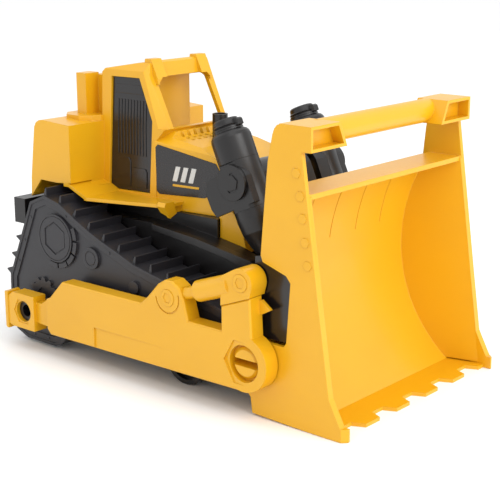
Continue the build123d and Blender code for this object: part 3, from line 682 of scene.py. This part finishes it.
@dataclass
class HoodMarks:
    """Generic slanted bars printed on both hood decals."""

    face_y: float = -46.4
    face_x: float = -58.0
    face_lean: float = 0.0959
    proud: float = 0.15
    sunk: float = 0.2
    bar_feet: tuple[float, ...] = (-37, -28.5, -20)
    bar_width: float = 5.0
    bar_slant: float = 4.0
    bar_low: float = 157.0
    bar_high: float = 170.0

    def build(self, palette: Palette) -> None:
        """Adds the marks on both sides.

        Args:
            palette: Finishes.
        """
        bars = [[(x, self.bar_low), (x + self.bar_width, self.bar_low),
                 (x + self.bar_slant + self.bar_width, self.bar_high),
                 (x + self.bar_slant, self.bar_high)] for x in self.bar_feet]
        line = [[(-37, 152.5), (-9, 152.5), (-8.3, 154.5), (-36.3, 154.5)]]
        for side in Side:
            self._print(f"hood_bars_{side.word}", side, bars, palette.pale_mark)
            self._print(f"hood_line_{side.word}", side, line, palette.yellow_mark)

    def _print(self, name: str, side: Side, outlines: Sequence[Sequence[XZ]],
               ink: bpy.types.Material) -> None:
        """Adds one colour of the mark.

        Args:
            name: Piece name.
            side: Side of the hood.
            outlines: Printed areas.
            ink: Their finish.
        """
        shape = bmesh.new()
        for outline in outlines:
            for vert in Former.slab(shape, outline, self.face_y - self.proud,
                                    self.face_y + self.sunk):
                vert.co.y += (vert.co.x - self.face_x) * self.face_lean
                vert.co.y *= -side.value
        Former.place(name, shape, Body.VEHICLE, ink, "decal_print")


@dataclass
class PodBolts:
    """Rows of small bolt heads along the stepped rims of the track pods."""

    inset: float = 5.3
    spacing: float = 17.0
    radius: float = 1.25
    face_y: float = 102.3
    proud: float = 0.55
    sunk: float = 0.3
    facets: int = 14
    corner_gap: float = 4.0

    def build(self, palette: Palette) -> None:
        """Adds the bolts on both pods.

        Args:
            palette: Finishes.
        """
        profile = [(0.0, -self.sunk), (self.radius, -self.sunk), (self.radius, self.proud * 0.5),
                   (self.radius * 0.6, self.proud), (0.0, self.proud)]
        for side in Side:
            shape = bmesh.new()
            for x, z in self._spots():
                Former.lathe(shape, profile, Vector((x, side.value * self.face_y, z)),
                             Vector((0, side.value, 0)), self.facets)
            Former.place(f"pod_bolts_{side.word}", shape, Body.VEHICLE, palette.track,
                         "track_black")

    def _spots(self) -> list[XZ]:
        """Evenly spaced places on the rim, inset from the outline.

        Returns:
            (x, z) of every bolt.
        """
        area = sum(a[0] * b[1] - b[0] * a[1]
                   for a, b in zip(POD_RIM, POD_RIM[1:] + POD_RIM[:1]))
        turn = 1.0 if area > 0 else -1.0
        spots: list[XZ] = []
        for (ax, az), (bx, bz) in zip(POD_RIM, POD_RIM[1:] + POD_RIM[:1]):
            length = math.hypot(bx - ax, bz - az)
            count = int((length - self.corner_gap) // self.spacing)
            for k in range(count):
                share = (k + 0.5) / count
                spots.append((ax + (bx - ax) * share - turn * self.inset * (bz - az) / length,
                              az + (bz - az) * share + turn * self.inset * (bx - ax) / length))
        return spots


# ------------------------------------------------------------------ studio
@dataclass(frozen=True)
class Softbox:
    """A large square light aimed at the toy."""

    name: str
    place: tuple[float, float, float]
    size: float
    power: float
    target: tuple[float, float, float] = (0, 0, 0.1)

    def hang(self) -> None:
        """Adds the light to the scene."""
        lamp = bpy.data.lights.new(self.name, "AREA")
        lamp.shape = "SQUARE"
        lamp.size = self.size
        lamp.energy = self.power
        hung = bpy.data.objects.new(self.name, lamp)
        hung.location = self.place
        aim = Vector(self.target) - Vector(self.place)
        hung.rotation_euler = aim.to_track_quat("-Z", "Y").to_euler()
        bpy.context.scene.collection.objects.link(hung)


SOFTBOXES = (
    Softbox("key_light", (0.9, -0.9, 1.5), 1.3, 5.0),
    Softbox("fill_light", (-1.3, -1.0, 1.0), 1.4, 1.5),
    Softbox("top_light", (0.1, 0.2, 1.8), 1.6, 5.0),
    Softbox("front_light", (1.9, -0.1, 0.9), 1.2, 20.0),
)


@dataclass
class Studio:
    """Floor, soft lights, sky and camera."""

    eye: tuple[float, float, float] = (0.68661, -0.79013, 0.36519)
    azimuth: float = 40.487
    elevation: float = 14.562
    roll: float = -0.131
    focal: float = 88.89
    sensor: float = 36.0
    clip: tuple[float, float] = (0.01, 100.0)
    sky: float = 1.05
    floor_size: float = 14.0

    def build(self) -> None:
        """Makes the floor, the lights and the camera."""
        self._floor()
        for softbox in SOFTBOXES:
            softbox.hang()
        self._sky()
        self._camera()
        bpy.context.scene.view_settings.view_transform = "Standard"

    def _floor(self) -> None:
        """Makes the plain pale floor."""
        shape = bmesh.new()
        bmesh.ops.create_grid(shape, x_segments=2, y_segments=2, size=self.floor_size / 2)
        mesh = bpy.data.meshes.new("studio_floor")
        shape.to_mesh(mesh)
        shape.free()
        mesh.materials.append(Paper().build())
        floor = bpy.data.objects.new("studio_floor", mesh)
        bpy.context.scene.collection.objects.link(floor)

    def _sky(self) -> None:
        """Surrounds the stage with even white light."""
        world = bpy.data.worlds.new("studio_sky")
        world.use_nodes = True
        ground = world.node_tree.nodes["Background"]
        ground.inputs["Color"].default_value = (1, 1, 1, 1)
        ground.inputs["Strength"].default_value = self.sky
        bpy.context.scene.world = world

    def _camera(self) -> None:
        """Sets the camera at the viewing angle."""
        lens = bpy.data.cameras.new("camera")
        lens.lens = self.focal
        lens.sensor_width = self.sensor
        lens.clip_start, lens.clip_end = self.clip
        camera = bpy.data.objects.new("camera", lens)
        azimuth, elevation = math.radians(self.azimuth), math.radians(self.elevation)
        back = Vector((math.sin(azimuth) * math.cos(elevation),
                       -math.cos(azimuth) * math.cos(elevation), math.sin(elevation)))
        aim = (-back).to_track_quat("-Z", "Y").to_matrix().to_4x4()
        camera.matrix_world = (Matrix.Translation(self.eye) @ aim
                               @ Matrix.Rotation(math.radians(self.roll), 4, "Z"))
        bpy.context.scene.collection.objects.link(camera)
        bpy.context.scene.camera = camera


def main() -> None:
    """Builds the sub-assemblies and the studio in order."""
    logging.basicConfig(level=logging.INFO, format="%(name)s: %(message)s")
    palette = Palette()
    for part in (UpperBody(), Chassis(), PushArms(), Blade(), LiftCylinders(),
                 CabPanelTrim(), HoodMarks(), PodBolts()):
        LOG.info("building %s", type(part).__name__)
        part.build(palette)
    Studio().build()


if __name__ == "__main__":
    main()
